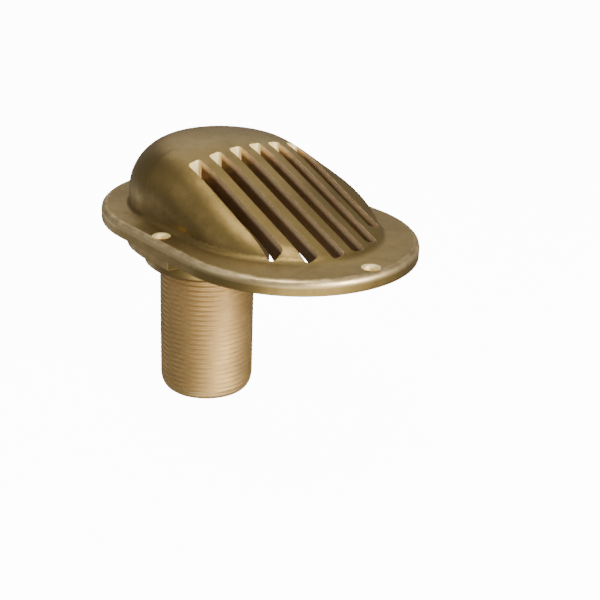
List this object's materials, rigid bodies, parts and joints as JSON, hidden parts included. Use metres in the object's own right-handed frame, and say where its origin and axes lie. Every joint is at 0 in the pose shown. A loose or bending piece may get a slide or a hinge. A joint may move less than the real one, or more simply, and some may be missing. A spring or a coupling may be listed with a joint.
{
  "type": "scoop strainer",
  "caption": "Bronze scoop strainer for a boat's hull: an oblong flange, a hollow dome that slopes down in a slotted grille, and a round tail that takes the water inboard.",
  "frame": {"origin": "on the tail's axis, level with the underside of the flange, which lies on the hull", "axes": "+Z out of the hull through the dome, -Z along the tail into the boat, +X from the tail to the low end of the grille; the strainer is the same on both sides of Y = 0"},
  "size_m": [0.149, 0.1008, 0.1198],
  "materials": {
    "bronze": "as-cast bronze, satin olive brown, machined golden on the tail and at the screw holes"
  },
  "bodies": {
    "root": {"strainer_body": "bronze"}
  },
  "joints": []
}
